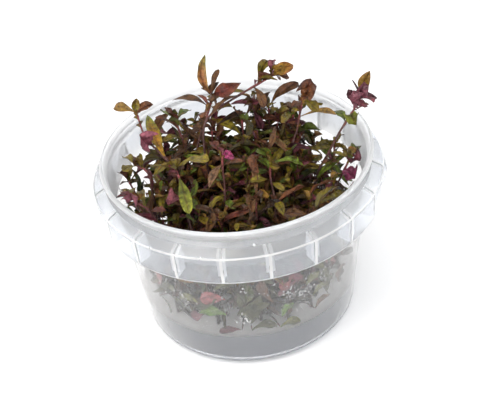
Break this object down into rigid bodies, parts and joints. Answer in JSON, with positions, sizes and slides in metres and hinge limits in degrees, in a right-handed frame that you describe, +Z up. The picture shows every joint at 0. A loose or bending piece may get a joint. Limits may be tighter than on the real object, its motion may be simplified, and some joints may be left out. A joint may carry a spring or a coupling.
{
  "type": "red rotala tissue culture tub",
  "caption": "Clear tub with a hanging collar, holding a layer of nutrient gel and a dense bunch of red and olive rotala shoots that rise above its rim.",
  "frame": {"origin": "centre of the underside of the tub's base", "axes": "+Z up along the tub's axis, -Y towards the side that the picture shows, +X to its right"},
  "size_m": [0.1012, 0.0998, 0.0898],
  "materials": {
    "clear_tub": "gloss",
    "gel": "satin",
    "stem": "satin",
    "shoot": "satin",
    "leaf_olive": "satin",
    "leaf_green": "satin",
    "leaf_ochre": "satin",
    "leaf_rust": "satin",
    "leaf_brown": "satin",
    "leaf_red": "satin",
    "leaf_pink": "satin",
    "leaf_plum": "satin"
  },
  "bodies": {
    "root": {"tub": "clear_tub", "nutrient_gel": "gel", "left_tall_stem": "stem", "left_tall_leaf_1": "leaf_ochre", "left_tall_leaf_2": "leaf_olive", "left_tall_leaf_3": "leaf_rust", "left_tall_leaf_4": "leaf_olive", "left_tall_leaf_5": "leaf_pink", "middle_tall_stem": "stem", "middle_tall_leaf_1": "leaf_ochre", "middle_tall_leaf_2": "leaf_red", "middle_tall_leaf_3": "leaf_brown", "middle_tall_leaf_4": "leaf_olive", "middle_tall_leaf_5": "leaf_brown", "arching_stem": "stem", "arching_leaf_1": "leaf_olive", "arching_leaf_2": "leaf_pink", "arching_leaf_3": "leaf_rust", "arching_leaf_4": "leaf_brown", "arching_leaf_5": "leaf_brown", "round_tip_stem": "stem", "round_tip_leaf_1": "leaf_red", "round_tip_leaf_2": "leaf_rust", "round_tip_leaf_3": "leaf_olive", "round_tip_leaf_4": "leaf_ochre", "right_tall_stem": "stem", "right_tall_leaf_1": "leaf_ochre", "right_tall_leaf_2": "leaf_plum", "right_tall_leaf_3": "leaf_plum", "right_tall_leaf_4": "leaf_pink", "right_tall_leaf_5": "leaf_olive", "right_tall_leaf_6": "leaf_green", "right_low": "shoot", "left_low": "shoot", "front_left": "shoot", "back_left": "shoot", "front_middle": "shoot", "front_right": "shoot", "middle_low": "shoot", "undergrowth_01": "shoot", "undergrowth_02": "shoot", "undergrowth_03": "shoot", "undergrowth_04": "shoot", "undergrowth_05": "shoot", "undergrowth_06": "shoot", "undergrowth_07": "shoot", "undergrowth_08": "shoot", "undergrowth_09": "shoot", "undergrowth_10": "shoot", "undergrowth_11": "shoot", "undergrowth_12": "shoot", "undergrowth_13": "shoot", "undergrowth_14": "shoot", "undergrowth_15": "shoot", "undergrowth_16": "shoot", "undergrowth_17": "shoot", "undergrowth_18": "shoot", "undergrowth_19": "shoot"}
  },
  "joints": []
}
